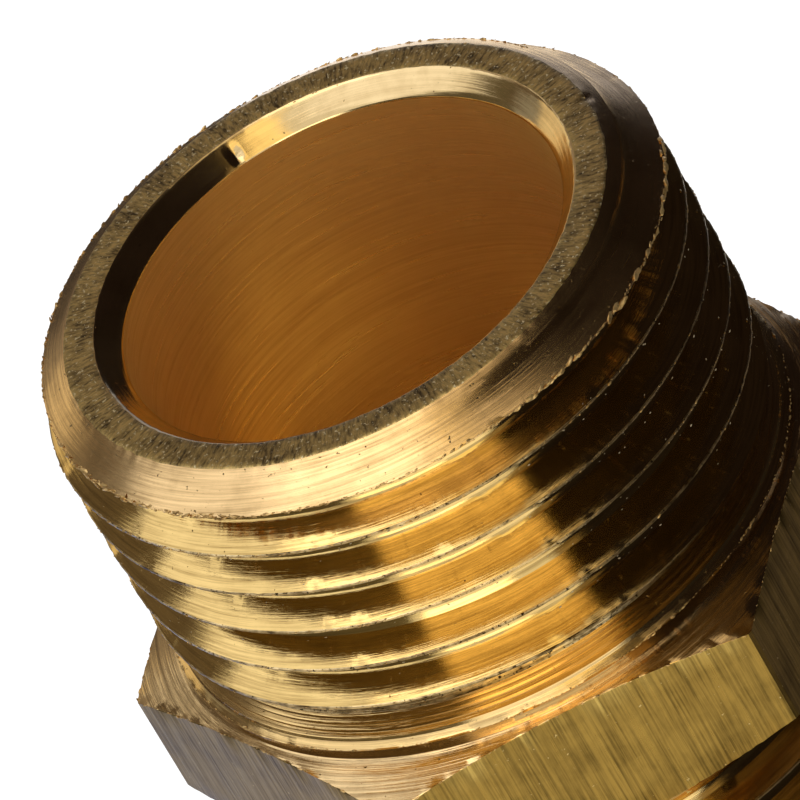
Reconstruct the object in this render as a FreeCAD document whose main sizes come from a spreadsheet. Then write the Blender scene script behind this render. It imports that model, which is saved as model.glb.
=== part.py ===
"""Flare fitting on a left-hand G 3/8 thread: a hexagon nipple, its flare nut and its flare sleeve.

All sizes are in millimetres. +Z runs up the common axis to the open end of the nipple. The assembly stands
on the tail of the sleeve, at z = 0. Threads are plain cylinders at the crest diameter.
"""
import FreeCAD, Part
import math
import os
import re

import Sketcher

FULL_TURN = 360.0

DRIVING_SIZES = {
    # G 3/8 pipe thread, cut left-handed
    "thread_crest_dia": 16.662,
    # nipple: depths are measured down from its open end face
    "nipple_length": 32.70,
    "nipple_flats": 17.00,
    "nipple_corners": 19.51,
    "mouth_bevel_dia": 12.71,
    "mouth_bevel_depth": 0.51,
    "mouth_dia": 11.634,
    "mouth_depth": 12.00,
    "drill_point_angle": 118.0,
    "through_dia": 8.00,
    "end_bevel_dia": 14.31,
    "end_bevel_depth": 0.72,
    "upper_thread_depth": 7.45,
    "relief_dia": 15.60,
    "upper_relief_depth": 8.25,
    "collar_top_depth": 8.71,
    "collar_foot_depth": 9.10,
    "collar_foot_dia": 16.84,
    "hexagon_top_depth": 9.54,
    "hexagon_bottom_depth": 12.52,
    "hexagon_under_depth": 13.08,
    "lower_relief_depth": 13.70,
    "lower_thread_top_depth": 14.11,
    "lower_thread_end_depth": 28.60,
    "nose_land_dia": 14.40,
    "nose_tip_dia": 9.80,
    "seat_angle": 45.0,
    # flare sleeve, for a tube of 10 mm outside with a 1 mm wall: heights are measured up from its tail
    "tube_wall": 1.00,
    "sleeve_length": 10.10,
    "sleeve_bore_dia": 10.10,
    "sleeve_rim_dia": 13.80,
    "sleeve_head_dia": 14.70,
    "sleeve_neck_dia": 12.60,
    "sleeve_shoulder_height": 5.65,
    # flare nut: heights are measured up from its foot
    "nut_lift": 1.20,
    "nut_length": 22.70,
    "nut_flats": 22.00,
    "nut_chamfer_dia": 20.80,
    "nut_chamfer_angle": 30.0,
    "nut_hexagon_height": 13.00,
    "nut_skirt_dia": 20.20,
    "nut_skirt_height": 3.60,
    "nut_foot_dia": 16.40,
    "nut_foot_land": 0.50,
    "nut_pocket_dia": 15.10,
    "nut_relief_dia": 17.50,
    "nut_relief_start": 9.50,
    "nut_relief_end": 11.50,
    "nut_mouth_dia": 18.20,
    # running clearances, on the radius
    "thread_gap": 0.050,
    "neck_gap": 0.060,
    "shoulder_gap": 0.080,
    # a sharp edge broken with a file
    "edge_break": 0.30,
}


def bound(formula):
    """Point every size name in a formula at its cell."""
    return re.sub(r"[a-z][a-z_]*", lambda word: cell_of(word.group()), formula)


def cell_of(word):
    """Give the cell of a size name, and leave any other word, such as tan, alone."""
    return f"sizes.{word}" if word in DRIVING_SIZES else word


def make_sizes(doc):
    """Put the driving sizes in a spreadsheet, one alias to a row."""
    sheet = doc.addObject("Spreadsheet::Sheet", "sizes")
    for row, (alias, value) in enumerate(DRIVING_SIZES.items(), start=1):
        sheet.set(f"A{row}", alias)
        sheet.set(f"B{row}", str(value))
        sheet.setAlias(f"B{row}", alias)
    doc.recompute()
    return sheet


def number(sheet, formula):
    """Work out a formula in size names."""
    value = sheet.evalExpression(bound(formula))
    return float(getattr(value, "Value", value))


def new_body(doc, label, lift):
    """Start a body whose own zero stands at the height that the formula lift gives."""
    body = doc.addObject("PartDesign::Body", label)
    body.Label = label
    body.setExpression("Placement.Base.z", bound(lift))
    return body


def new_sketch(body, name, role):
    """Start a sketch on the body's own origin plane of the given role."""
    sketch = body.newObject("Sketcher::SketchObject", name)
    plane = next(item for item in body.Origin.OriginFeatures if item.Role == role)
    sketch.AttachmentSupport = [(plane, "")]
    sketch.MapMode = "FlatFace"
    return sketch


def bind_coordinate(sketch, kind, line, formula, value):
    """Hold the start of a line to a formula, or to the sketch's own axis where the formula is 0."""
    if formula == "0":
        axis = -2 if kind == "DistanceX" else -1
        sketch.addConstraint(Sketcher.Constraint("PointOnObject", line, 1, axis))
        return
    index = sketch.addConstraint(Sketcher.Constraint(kind, -1, 1, line, 1, value))
    sketch.setExpression(f"Constraints[{index}]", bound(formula))


def half_section(body, sheet, name, corners):
    """Draw a closed half section. Each corner is a radius and a height, as formulas in size names."""
    sketch = new_sketch(body, name, "XZ_Plane")
    places = [(number(sheet, radius), number(sheet, height)) for radius, height in corners]
    following = places[1:] + places[:1]
    for here, there in zip(places, following):
        sketch.addGeometry(Part.LineSegment(FreeCAD.Vector(*here, 0), FreeCAD.Vector(*there, 0)))
    for line in range(len(corners)):
        sketch.addConstraint(Sketcher.Constraint("Coincident", line, 2, (line + 1) % len(corners), 1))
    for line, ((radius, height), place) in enumerate(zip(corners, places)):
        bind_coordinate(sketch, "DistanceX", line, radius, place[0])
        bind_coordinate(sketch, "DistanceY", line, height, place[1])
    return sketch


def hexagon_bar(body, sheet, name, flats, length):
    """Pad a length of hexagon bar that has two of its corners on the X axis."""
    sketch = new_sketch(body, f"{name}_section", "XY_Plane")
    radius = number(sheet, f"{flats} / sqrt(3)")
    angles = [math.radians(60 * corner) for corner in range(6)]
    points = [FreeCAD.Vector(radius * math.cos(angle), radius * math.sin(angle), 0) for angle in angles]
    for here, there in zip(points, points[1:] + points[:1]):
        sketch.addGeometry(Part.LineSegment(here, there))
    guide = sketch.addGeometry(Part.Circle(FreeCAD.Vector(), FreeCAD.Vector(0, 0, 1), radius), True)
    sketch.addConstraint(Sketcher.Constraint("Coincident", guide, 3, -1, 1))
    for side in range(6):
        sketch.addConstraint(Sketcher.Constraint("Coincident", side, 2, (side + 1) % 6, 1))
        sketch.addConstraint(Sketcher.Constraint("PointOnObject", side, 1, guide))
    for side in range(5):
        sketch.addConstraint(Sketcher.Constraint("Equal", side, side + 1))
    sketch.addConstraint(Sketcher.Constraint("PointOnObject", 0, 1, -1))
    size = sketch.addConstraint(Sketcher.Constraint("Radius", guide, radius))
    sketch.setExpression(f"Constraints[{size}]", bound(f"{flats} / sqrt(3)"))
    bar = body.newObject("PartDesign::Pad", name)
    bar.Profile = sketch
    bar.setExpression("Length", bound(length))
    return bar


def turned_bar(body, sheet, name, corners):
    """Revolve a half section into a solid."""
    bar = body.newObject("PartDesign::Revolution", name)
    bar.Profile = half_section(body, sheet, f"{name}_section", corners)
    bar.ReferenceAxis = (bar.Profile[0], ["V_Axis"])
    bar.Angle = FULL_TURN
    return bar


def turned_cut(body, sheet, name, corners):
    """Turn a half section away, and make sure that metal came off."""
    body.Document.recompute()
    volume_before = body.Shape.Volume
    cut = body.newObject("PartDesign::Groove", name)
    cut.Profile = half_section(body, sheet, f"{name}_section", corners)
    cut.ReferenceAxis = (cut.Profile[0], ["V_Axis"])
    cut.Angle = FULL_TURN
    body.Document.recompute()
    if body.Shape.Volume >= volume_before:
        raise RuntimeError(f"{name} cut nothing")
    return cut


def make_nipple(doc, sheet):
    """Make the nipple from hexagon bar: turned at both ends, coned on its nose, and bored through."""
    nose_to_seat = "tube_wall / sin(seat_angle)"
    seat_start = "sleeve_length - (sleeve_rim_dia - sleeve_bore_dia) / 2 / tan(seat_angle)"
    nose_lead = "(sleeve_bore_dia - nose_tip_dia) / 2 / tan(seat_angle)"
    body = new_body(doc, "fitting_body", f"{seat_start} + {nose_to_seat} - {nose_lead}")
    hexagon_bar(body, sheet, "nipple_bar", "nipple_flats", "nipple_length")

    crest = "thread_crest_dia / 2"
    relief_cut = "(thread_crest_dia - relief_dia) / 2"
    land_cut = "(thread_crest_dia - nose_land_dia) / 2"
    clear_of_bar = "nipple_flats"
    turned_cut(body, sheet, "nipple_outside", [
        (clear_of_bar, "nipple_length"),
        ("end_bevel_dia / 2", "nipple_length"),
        (crest, "nipple_length - end_bevel_depth"),
        (crest, "nipple_length - upper_thread_depth"),
        ("relief_dia / 2", f"nipple_length - upper_thread_depth - {relief_cut}"),
        ("relief_dia / 2", "nipple_length - upper_relief_depth"),
        (crest, "nipple_length - collar_top_depth"),
        ("collar_foot_dia / 2", "nipple_length - collar_foot_depth"),
        ("nipple_corners / 2", "nipple_length - hexagon_top_depth"),
        ("nipple_corners / 2", "nipple_length - hexagon_bottom_depth"),
        ("collar_foot_dia / 2", "nipple_length - hexagon_under_depth"),
        ("relief_dia / 2", "nipple_length - hexagon_under_depth"),
        ("relief_dia / 2", "nipple_length - lower_relief_depth"),
        (crest, "nipple_length - lower_thread_top_depth"),
        (crest, "nipple_length - lower_thread_end_depth"),
        ("nose_land_dia / 2", f"nipple_length - lower_thread_end_depth - {land_cut}"),
        ("nose_land_dia / 2", "(nose_land_dia - nose_tip_dia) / 2 / tan(seat_angle)"),
        ("nose_tip_dia / 2", "0"),
        (clear_of_bar, "0"),
    ])
    drill_point = "(mouth_dia - through_dia) / 2 / tan(drill_point_angle / 2)"
    turned_cut(body, sheet, "nipple_bore", [
        ("0", "nipple_length"),
        ("mouth_bevel_dia / 2", "nipple_length"),
        ("mouth_dia / 2", "nipple_length - mouth_bevel_depth"),
        ("mouth_dia / 2", "nipple_length - mouth_depth"),
        ("through_dia / 2", f"nipple_length - mouth_depth - {drill_point}"),
        ("through_dia / 2", "0"),
        ("0", "0"),
    ])
    return body


def make_sleeve(doc, sheet):
    """Turn the sleeve that backs the tube's flare: a neck, a 45 degree shoulder and a coned head."""
    body = new_body(doc, "flare_sleeve", "0")
    turned_bar(body, sheet, "sleeve_turning", [
        ("sleeve_bore_dia / 2 + edge_break", "0"),
        ("sleeve_neck_dia / 2 - edge_break", "0"),
        ("sleeve_neck_dia / 2", "edge_break"),
        ("sleeve_neck_dia / 2", "sleeve_shoulder_height"),
        ("sleeve_head_dia / 2", "sleeve_shoulder_height + (sleeve_head_dia - sleeve_neck_dia) / 2"),
        ("sleeve_head_dia / 2", "sleeve_length - edge_break"),
        ("sleeve_head_dia / 2 - edge_break", "sleeve_length"),
        ("sleeve_rim_dia / 2", "sleeve_length"),
        ("sleeve_bore_dia / 2", "sleeve_length - (sleeve_rim_dia - sleeve_bore_dia) / 2 / tan(seat_angle)"),
        ("sleeve_bore_dia / 2", "edge_break"),
    ])
    return body


def make_nut(doc, sheet):
    """Make the nut from hexagon bar, with coned corners, a turned skirt and a bore for the sleeve's head."""
    body = new_body(doc, "flare_nut", "nut_lift")
    hexagon_bar(body, sheet, "nut_bar", "nut_flats", "nut_length")

    clear_of_bar = "nut_flats"
    cone_run = "(nut_flats - nut_chamfer_dia / 2) * tan(nut_chamfer_angle)"
    turned_cut(body, sheet, "nut_top_cone", [
        (clear_of_bar, "nut_length"),
        ("nut_chamfer_dia / 2", "nut_length"),
        (clear_of_bar, f"nut_length - {cone_run}"),
    ])
    turned_cut(body, sheet, "nut_skirt", [
        (clear_of_bar, "0"),
        ("nut_foot_dia / 2", "0"),
        ("nut_foot_dia / 2", "nut_foot_land"),
        ("nut_skirt_dia / 2", "nut_skirt_height"),
        ("nut_skirt_dia / 2", "nut_length - nut_hexagon_height"),
        ("nut_chamfer_dia / 2", "nut_length - nut_hexagon_height"),
        (clear_of_bar, f"nut_length - nut_hexagon_height + {cone_run}"),
    ])
    neck = "(sleeve_neck_dia / 2 + neck_gap)"
    shoulder = "(sleeve_shoulder_height - nut_lift + neck_gap - shoulder_gap)"
    thread = "(thread_crest_dia / 2 + thread_gap)"
    turned_cut(body, sheet, "nut_bore", [
        ("0", "0"),
        (f"{neck} + edge_break", "0"),
        (neck, "edge_break"),
        (neck, shoulder),
        ("nut_pocket_dia / 2", f"{shoulder} + nut_pocket_dia / 2 - {neck}"),
        ("nut_pocket_dia / 2", "nut_relief_start"),
        ("nut_relief_dia / 2", "nut_relief_start"),
        ("nut_relief_dia / 2", "nut_relief_end"),
        (thread, f"nut_relief_end + nut_relief_dia / 2 - {thread}"),
        (thread, f"nut_length - nut_mouth_dia / 2 + {thread}"),
        ("nut_mouth_dia / 2", "nut_length"),
        ("0", "nut_length"),
    ])
    return body


def check(doc, pieces):
    """Stop if any object failed to build or any piece has no valid solid."""
    failed = [item.Name for item in doc.Objects if {"Invalid", "Error"} & set(item.State)]
    if failed:
        raise RuntimeError(f"these objects failed: {failed}")
    for piece in pieces:
        shape = piece.Shape
        if shape.isNull() or not shape.isValid() or len(shape.Solids) != 1:
            raise RuntimeError(f"{piece.Label} is not one valid solid")


def main():
    """Build the three pieces and write each to its own file."""
    doc = FreeCAD.newDocument("flare_fitting")
    sheet = make_sizes(doc)
    pieces = [make_nipple(doc, sheet), make_sleeve(doc, sheet), make_nut(doc, sheet)]
    doc.recompute()
    check(doc, pieces)
    os.makedirs("parts", exist_ok=True)
    for piece in pieces:
        piece.Shape.exportStep(f"parts/{piece.Label}.step")
        box = piece.Shape.BoundBox
        print(f"{piece.Label}: z {box.ZMin:.3f} to {box.ZMax:.3f}, volume {piece.Shape.Volume:.1f} mm3")


main()
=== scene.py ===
"""Looks of a brass flare fitting: a left-hand threaded hexagon nipple, its flare nut and its flare sleeve.

Lengths in the classes are millimetres and are turned to metres where a mesh is made. Depths run down from the
open end face of the nipple. Angles run anticlockwise from +X, seen from above.
"""
import logging
import math
from collections.abc import Callable
from dataclasses import dataclass
from enum import Enum, IntEnum
from statistics import NormalDist

import bpy
import bmesh
import numpy as np
from mathutils import Matrix, Vector


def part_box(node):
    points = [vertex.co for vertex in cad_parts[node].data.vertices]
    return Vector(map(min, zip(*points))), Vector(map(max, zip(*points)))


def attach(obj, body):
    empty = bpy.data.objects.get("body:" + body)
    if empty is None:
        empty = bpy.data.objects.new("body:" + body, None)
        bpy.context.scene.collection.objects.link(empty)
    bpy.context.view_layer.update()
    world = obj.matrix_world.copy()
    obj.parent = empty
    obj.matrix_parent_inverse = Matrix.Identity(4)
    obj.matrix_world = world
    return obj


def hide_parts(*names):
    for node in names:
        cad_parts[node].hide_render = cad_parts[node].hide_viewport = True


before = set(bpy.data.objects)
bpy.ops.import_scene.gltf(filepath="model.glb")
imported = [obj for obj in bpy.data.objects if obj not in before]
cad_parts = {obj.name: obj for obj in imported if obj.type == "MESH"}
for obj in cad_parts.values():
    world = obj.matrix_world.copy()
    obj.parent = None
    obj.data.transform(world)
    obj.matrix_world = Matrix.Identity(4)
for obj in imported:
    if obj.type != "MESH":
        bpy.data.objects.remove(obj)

LOG = logging.getLogger("flare_fitting")
MM = 0.001
FLOOR_CLEARANCE = 0.2
TURN = 2.0 * math.pi
PATH_POINTS = 240
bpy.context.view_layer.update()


class Hand(Enum):
    """Which way a thread winds."""

    LEFT = -1
    RIGHT = 1


class Lay(Enum):
    """Which way the tool marks run on a surface."""

    AROUND = "around"
    ALONG = "along"
    ACROSS = "across"
    NONE = "none"


class Zone(IntEnum):
    """The zones of the nipple that were made in different ways."""

    BORED = 0
    BEVEL_IN = 1
    SAWN = 2
    BEVEL_OUT = 3
    THREAD = 4
    CREST = 5
    RELIEF = 6
    CONE = 7
    FLATS = 8
    NOSE = 9


@dataclass(frozen=True)
class Ripple:
    """A seeded, endless wave around a circle: the unevenness that a tool leaves on an edge.

    Attributes:
        seed: the seed of its wave counts and phases.
        slowest: the least number of waves around.
        fastest: the greatest number of waves around.
        parts: how many waves are added up.
    """

    seed: int
    slowest: int = 9
    fastest: int = 140
    parts: int = 28

    def at(self, angles: np.ndarray) -> np.ndarray:
        """Give the wave's height, mostly between -1 and 1.

        Args:
            angles: the angles to give it at.

        Returns:
            The height at each angle.
        """
        random = np.random.default_rng(self.seed)
        counts = random.integers(self.slowest, self.fastest, self.parts)
        phases = random.uniform(0.0, TURN, self.parts)
        waves = np.sin(counts[:, None] * angles[None, :] + phases[:, None])
        return waves.sum(axis=0) / math.sqrt(self.parts)


@dataclass(frozen=True)
class ThreadForm:
    """A 55 degree pipe thread form on a helix.

    Attributes:
        crest_radius: radius of the crests.
        depth: radial depth of the groove.
        pitch: distance from crest to crest along the axis.
        crest_flat: width of the flat on each crest.
        root_radius: radius of the rounded root.
        flank: angle of a flank to the plane across the axis, in degrees.
        hand: which way it winds.
        datum_angle: the angle at which a crest stands at the datum height.
        datum_height: the height of that crest.
        root_steps: how many steps half of the rounded root is built in.
    """

    crest_radius: float = 8.331
    depth: float = 0.856
    pitch: float = 1.337
    crest_flat: float = 0.05
    root_radius: float = 0.28
    flank: float = 27.5
    hand: Hand = Hand.LEFT
    datum_angle: float = 0.0
    datum_height: float = 0.0
    root_steps: int = 3

    def crest_height(self, angles: np.ndarray) -> np.ndarray:
        """Give the height at each angle of the crest line that passes through the datum."""
        return self.datum_height + self.hand.value * self.pitch * (angles - self.datum_angle) / TURN

    def turns_up(self, angles: np.ndarray, heights: np.ndarray) -> np.ndarray:
        """Give how many pitches each place stands above that crest line."""
        return (heights - self.crest_height(angles)) / self.pitch

    def radius(self, angles: np.ndarray, heights: np.ndarray) -> np.ndarray:
        """Give the radius of the threaded surface.

        Args:
            angles: angles about the axis.
            heights: heights along the axis, of the same shape.

        Returns:
            The radius at each place.
        """
        turns = self.turns_up(angles, heights)
        from_crest = np.abs(turns - np.round(turns)) * self.pitch
        slope = math.tan(math.radians(self.flank))
        on_flank = np.maximum(from_crest - self.crest_flat / 2, 0.0) / slope
        from_root = self.pitch / 2 - from_crest
        inside = np.maximum(self.root_radius ** 2 - from_root ** 2, 0.0)
        on_root = self.depth - self.root_radius + np.sqrt(inside)
        rounded = from_root < self.root_radius * math.cos(math.radians(self.flank))
        return self.crest_radius - np.where(rounded, np.minimum(on_root, self.depth), on_flank)

    def run(self, angles: np.ndarray, heights: np.ndarray) -> np.ndarray:
        """Give how far round the helix each place lies, in radians, going on from turn to turn."""
        return angles + self.hand.value * TURN * np.round(self.turns_up(angles, heights))

    def row_offsets(self) -> list[float]:
        """Give where one turn of the groove needs a row of points.

        Returns:
            The distances below a crest, along the axis.
        """
        edge, rounding = self.crest_flat / 2, 0.018
        arc = [self.root_radius * math.sin(math.radians(90.0 - self.flank) * step / self.root_steps)
               for step in range(self.root_steps, 0, -1)]
        root_start = self.pitch / 2 - arc[0]
        near = [edge, edge + rounding, (edge + root_start) / 2, *[self.pitch / 2 - reach for reach in arc]]
        far = [self.pitch - offset for offset in reversed(near)]
        return [0.0, *near, self.pitch / 2, *far]


class TurnedShell:
    """A closed skin around the axis, built from rings of points that follow its section.

    Rings may be level or wind along a thread. A ring that winds meets itself one turn further on.
    """

    def __init__(self, angles: np.ndarray) -> None:
        """Start an empty shell.

        Args:
            angles: the angle of each column of points, in order.
        """
        self.angles = angles
        self.radii: list[np.ndarray] = []
        self.heights: list[np.ndarray] = []
        self.finishes: list[int] = []
        self.meets: list[int] = []

    def ring(self, radius: float | np.ndarray, height: float | np.ndarray, finish: int) -> None:
        """Add a ring that closes on itself.

        Args:
            radius: its radius, the same all round or one for each column.
            height: its height, likewise.
            finish: the number of the finish between this ring and the next.
        """
        self.meets.append(len(self.radii))
        self.radii.append(np.broadcast_to(radius, self.angles.shape).astype(float))
        self.heights.append(np.broadcast_to(height, self.angles.shape).astype(float))
        self.finishes.append(finish)

    def rings(self, section: list[tuple[float, float]], finish: int) -> None:
        """Add level rings of one finish at the corners of a section, each a radius and a height."""
        for radius, height in section:
            self.ring(radius, height, finish)

    def profile(self, corners: list[tuple], edge: float = 0.03, closed: bool = False) -> None:
        """Add rings along a section, with each of its corners broken by a small flat.

        Args:
            corners: each corner's radius, height and the number of the finish that follows it.
            edge: how far the broken edge reaches along each side of a corner.
            closed: whether the section runs back to its first corner.
        """
        most_share, least_length = 0.45, 1e-9
        places = [(np.broadcast_to(radius, self.angles.shape).astype(float),
                   np.broadcast_to(height, self.angles.shape).astype(float), finish)
                  for radius, height, finish in corners]
        for index, (radius, height, finish) in enumerate(places):
            ends = [(index - 1) % len(places), (index + 1) % len(places)]
            if not closed and index in (0, len(places) - 1):
                self.ring(radius, height, finish)
                continue
            for end in ends:
                out, up = places[end][0] - radius, places[end][1] - height
                reach = np.minimum(edge / np.maximum(np.hypot(out, up), least_length), most_share)
                self.ring(radius + out * reach, height + up * reach, finish)

    def winding(self, form: ThreadForm, envelope: Callable[[np.ndarray], np.ndarray], top: float,
                bottom: float, finishes: Callable[[float, bool], int], inside: bool = False) -> None:
        """Add the rings of a thread between two heights, cut into the blank that the envelope gives.

        Args:
            form: the thread.
            envelope: a function from heights to the radius of the blank.
            top: the height at which the band starts.
            bottom: the height at which it ends.
            finishes: a function from a height, and whether it is on a crest, to the number of the finish.
            inside: whether the thread is cut into a bore instead of a bar.
        """
        first = len(self.radii)
        rise = form.hand.value * form.pitch * self.angles / TURN
        offsets = form.row_offsets()
        start = form.crest_height(np.zeros(1))[0]
        turns_up = math.ceil((top + 2 * form.pitch - start) / form.pitch)
        turn_count = math.ceil((top - bottom) / form.pitch) + 4
        levels = [start + form.pitch * (turns_up - turn) - offset
                  for turn in range(turn_count) for offset in offsets]
        rows = np.clip(np.array(levels)[:, None] + rise[None, :], bottom, top)
        angles = np.broadcast_to(self.angles, rows.shape)
        rows = self._snapped(form, envelope, rows, angles, (bottom, top))
        cut = np.maximum if inside else np.minimum
        radii = cut(envelope(rows), form.radius(angles, rows))
        last = first + len(levels) - 1
        step = len(offsets) if form.hand is Hand.LEFT else -len(offsets)
        crest_rows = 2
        for index in range(len(levels)):
            below_crest = index % len(offsets)
            on_crest = below_crest < crest_rows or below_crest >= len(offsets) - crest_rows
            self.meets.append(min(max(first + index + step, first), last))
            self.radii.append(radii[index])
            self.heights.append(rows[index])
            self.finishes.append(finishes(float(rows[index].mean()), on_crest))

    def dent(self, angle: float, radius: float, height: float, reach: tuple[float, float],
             push: tuple[float, float]) -> None:
        """Push the points near a place aside, as a knock does.

        Args:
            angle: the angle of the place, in degrees.
            radius: its radius.
            height: its height.
            reach: how far the dent reaches around, and how far across.
            push: how far its middle moves outward, and how far up.
        """
        radii, heights = np.array(self.radii), np.array(self.heights)
        turned = np.mod(self.angles - math.radians(angle) + math.pi, TURN) - math.pi
        around = np.abs(turned)[None, :] * radius / reach[0]
        across = np.hypot(radii - radius, heights - height) / reach[1]
        weight = np.clip(1.0 - around, 0.0, 1.0) * np.clip(1.0 - across, 0.0, 1.0)
        self.radii = list(radii + weight * push[0])
        self.heights = list(heights + weight * push[1])

    @staticmethod
    def _snapped(form: ThreadForm, envelope: Callable[[np.ndarray], np.ndarray], rows: np.ndarray,
                 angles: np.ndarray, limits: tuple[float, float]) -> np.ndarray:
        """Move the nearest points onto the line where the groove breaks out of the blank.

        Args:
            form: the thread.
            envelope: a function from heights to the radius of the blank.
            rows: the heights of the rings' points.
            angles: their angles, of the same shape.
            limits: the lowest and the highest height, at which no point moves.

        Returns:
            The heights of the points after that.
        """
        def excess(heights: np.ndarray) -> np.ndarray:
            """Give how far the blank stands out past the thread, between each ring and the next."""
            return envelope(heights) - form.radius(angles[:-1], heights)

        least_gap, halvings, tolerance = 0.01, 24, 1e-6
        upper, lower = rows[:-1], rows[1:]
        at_upper = excess(upper)
        crosses = (at_upper * excess(lower) < 0) & (upper - lower > least_gap)
        high, low = upper, lower
        for _ in range(halvings):
            middle = (high + low) / 2
            same = excess(middle) * at_upper > 0
            high = np.where(same, middle, high)
            low = np.where(same, low, middle)
        root = (high + low) / 2
        snapped = rows.copy()
        nearer_up = crosses & (upper - root <= root - lower) & (upper < limits[1] - tolerance)
        nearer_down = crosses & ~nearer_up & (lower > limits[0] + tolerance)
        snapped[:-1] = np.where(nearer_up, root, snapped[:-1])
        snapped[1:] = np.where(nearer_down, root, snapped[1:])
        return snapped

    def build(self, name: str, materials: list[bpy.types.Material]) -> bpy.types.Object:
        """Join the rings into one closed mesh.

        Args:
            name: the name of the piece.
            materials: the finishes, in the order of their numbers.

        Returns:
            The piece, at the origin.
        """
        radii, heights = np.array(self.radii), np.array(self.heights)
        rows, columns = radii.shape
        points = around_axis(radii, self.angles, heights).reshape(-1, 3)
        # points that fall together, where the groove has run out, become one
        keys_per_mm = 1e5
        keys = np.round(points * keys_per_mm).astype(np.int64)
        _, first_seen, shared = np.unique(keys, axis=0, return_index=True, return_inverse=True)
        shared = shared.reshape(rows, columns)
        following = np.roll(np.arange(rows), -1)
        beside = np.roll(shared, -1, axis=1)
        beside[:, -1] = shared[self.meets, 0]
        corners = np.stack([shared, shared[following], beside[following], beside], axis=-1)
        finishes = np.repeat(np.array(self.finishes), columns)
        faces, slots = [], []
        for face, finish in zip(corners.reshape(-1, 4).tolist(), finishes.tolist()):
            ring = [face[k] for k in range(4) if face[k] != face[k - 1]]
            if len(set(ring)) == len(ring) and len(ring) > 2:
                faces.append(ring)
                slots.append(finish)
        mesh = bpy.data.meshes.new(name)
        mesh.from_pydata((points[first_seen] * MM).tolist(), [], faces)
        mesh.polygons.foreach_set("material_index", slots)
        for material in materials:
            mesh.materials.append(material)
        return finish_mesh(name, mesh)


def finish_mesh(name: str, mesh: bpy.types.Mesh, sharp_angle: float = 28.0) -> bpy.types.Object:
    """Turn a closed mesh the right way out, smooth it and put it in the scene.

    Args:
        name: the name of the piece.
        mesh: its mesh, in place.
        sharp_angle: edges that turn by more than this many degrees stay sharp.

    Returns:
        The piece, at the origin.
    """
    work = bmesh.new()
    work.from_mesh(mesh)
    bmesh.ops.recalc_face_normals(work, faces=work.faces[:])
    if work.calc_volume(signed=True) < 0:
        bmesh.ops.reverse_faces(work, faces=work.faces[:])
    open_edges = sum(1 for edge in work.edges if not edge.is_manifold)
    work.to_mesh(mesh)
    work.free()
    mesh.shade_smooth()
    mesh.set_sharp_from_angle(angle=math.radians(sharp_angle))
    mesh.update()
    LOG.info("%s: %d faces, %d open edges", name, len(mesh.polygons), open_edges)
    return add_object(name, mesh)


def add_object(name: str, data: bpy.types.ID) -> bpy.types.Object:
    """Make an object and put it in the scene.

    Args:
        name: its name.
        data: its mesh, lamp or camera.

    Returns:
        The object.
    """
    made = bpy.data.objects.new(name, data)
    bpy.context.scene.collection.objects.link(made)
    return made


def around_axis(radii: float | np.ndarray, angles: np.ndarray, heights: float | np.ndarray) -> np.ndarray:
    """Give the points at the given radii, angles and heights."""
    return np.stack(np.broadcast_arrays(radii * np.cos(angles), radii * np.sin(angles), heights), axis=-1)


def hexagon_radius(angles: np.ndarray, half_flats: float, corner_radius: float) -> np.ndarray:
    """Give the radius at each angle of a hexagon whose corners are turned down to a radius."""
    from_flat = np.mod(angles, math.radians(60)) - math.radians(30)
    return np.minimum(half_flats / np.cos(from_flat), corner_radius)


def direction(azimuth: float, elevation: float) -> Vector:
    """Give the unit vector that points to an azimuth and an elevation, both in degrees."""
    turn, lift = math.radians(azimuth), math.radians(elevation)
    return Vector((math.cos(turn) * math.cos(lift), math.sin(turn) * math.cos(lift), math.sin(lift)))


def linear(code: str) -> tuple[float, float, float, float]:
    """Turn an sRGB hex colour, such as #C8A040, into linear RGBA."""
    parts = [int(code[k:k + 2], 16) / 255 for k in (1, 3, 5)]
    return (*[p / 12.92 if p <= 0.04045 else ((p + 0.055) / 1.055) ** 2.4 for p in parts], 1.0)


def add_node(tree: bpy.types.NodeTree, kind: str, settings: dict | None = None,
             inputs: dict | None = None) -> bpy.types.Node:
    """Add a node with its settings and its inputs.

    Args:
        tree: the tree to add it to.
        kind: the node's type name.
        settings: its own properties, by name.
        inputs: its inputs by name or number: another node's output is linked, any other value is set.

    Returns:
        The new node.
    """
    node = tree.nodes.new(kind)
    for key, value in (settings or {}).items():
        setattr(node, key, value)
    for key, value in (inputs or {}).items():
        if isinstance(value, bpy.types.NodeSocket):
            tree.links.new(value, node.inputs[key])
        else:
            node.inputs[key].default_value = value
    return node


def empty_tree(owner: bpy.types.Material | bpy.types.World) -> bpy.types.NodeTree:
    """Turn on the nodes of a new material or world and clear them.

    Args:
        owner: the material or the world.

    Returns:
        Its node tree, with nothing in it.
    """
    owner.use_nodes = True
    owner.node_tree.nodes.clear()
    return owner.node_tree


def shows_background(tree: bpy.types.NodeTree) -> bpy.types.NodeSocket:
    """Give 1 on rays from the camera and on those that metal and glass send on, and 0 on the others.

    Args:
        tree: the tree to add the nodes to.

    Returns:
        The socket that gives it.
    """
    path = add_node(tree, "ShaderNodeLightPath").outputs
    seen = path["Is Camera Ray"]
    for ray in ("Is Glossy Ray", "Is Transmission Ray"):
        seen = add_node(tree, "ShaderNodeMath", {"operation": "MAXIMUM"}, {0: seen, 1: path[ray]}).outputs[0]
    return seen


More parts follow.
